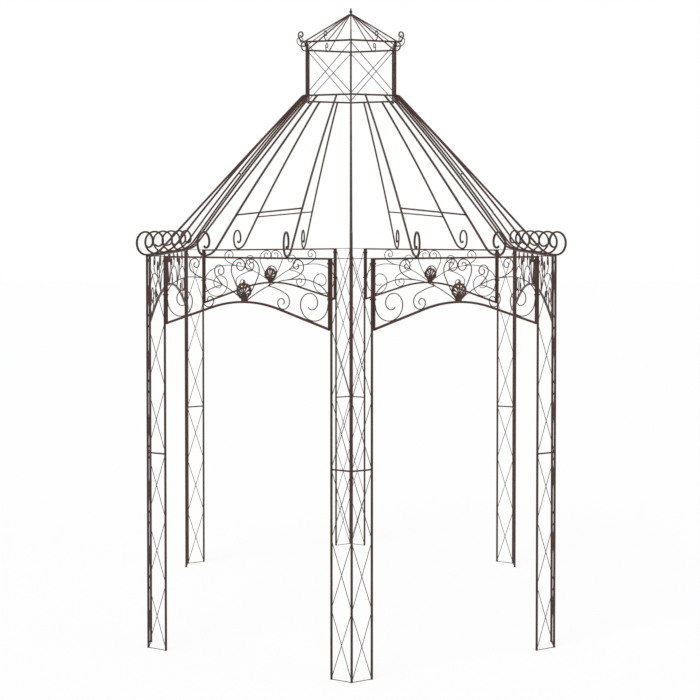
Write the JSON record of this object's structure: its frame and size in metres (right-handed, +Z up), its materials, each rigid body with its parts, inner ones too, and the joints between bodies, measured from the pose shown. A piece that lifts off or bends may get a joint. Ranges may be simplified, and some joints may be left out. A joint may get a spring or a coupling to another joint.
{
  "type": "garden pavilion",
  "caption": "Open iron garden pavilion with lattice posts, scrolled arched friezes, curled roof rods and a small lantern on top.",
  "frame": {"origin": "on the ground at the middle of the plan", "axes": "+Z up, Y along the long axis of the plan with the viewer on the -Y side, X across it"},
  "size_m": [2.4296, 3.9548, 3.722],
  "materials": {
    "iron": "antique brown powder coat, slightly rubbed",
    "cast_ornament": "antique brown with bronze tint, satin"
  },
  "bodies": {
    "root": {"arch_palmettes": "cast_ornament", "back_hip_rafter": "iron", "back_left_frieze": "iron", "back_left_hip_rafter": "iron", "back_left_post_corner_tube": "iron", "back_left_post_end_lattice": "iron", "back_left_post_side_lattice": "iron", "back_left_rafters": "iron", "back_post_corner_tube": "iron", "back_post_left_lattice": "iron", "back_post_right_lattice": "iron", "back_right_frieze": "iron", "back_right_hip_rafter": "iron", "back_right_post_corner_tube": "iron", "back_right_post_end_lattice": "iron", "back_right_post_side_lattice": "iron", "back_right_rafters": "iron", "front_hip_rafter": "iron", "front_left_frieze": "iron", "front_left_hip_rafter": "iron", "front_left_post_corner_tube": "iron", "front_left_post_end_lattice": "iron", "front_left_post_side_lattice": "iron", "front_left_rafters": "iron", "front_post_corner_tube": "iron", "front_post_left_lattice": "iron", "front_post_right_lattice": "iron", "front_right_frieze": "iron", "front_right_hip_rafter": "iron", "front_right_post_corner_tube": "iron", "front_right_post_end_lattice": "iron", "front_right_post_side_lattice": "iron", "front_right_rafters": "iron", "lantern_hip_rods": "iron", "lantern_lower_ring": "iron", "lantern_middle_rods": "iron", "lantern_posts": "iron", "lantern_upper_ring": "iron", "lantern_wire_crosses": "iron", "left_side_frieze": "iron", "left_side_rafters": "iron", "peak_finial": "cast_ornament", "right_side_frieze": "iron", "right_side_rafters": "iron", "roof_purlins": "iron"}
  },
  "joints": []
}
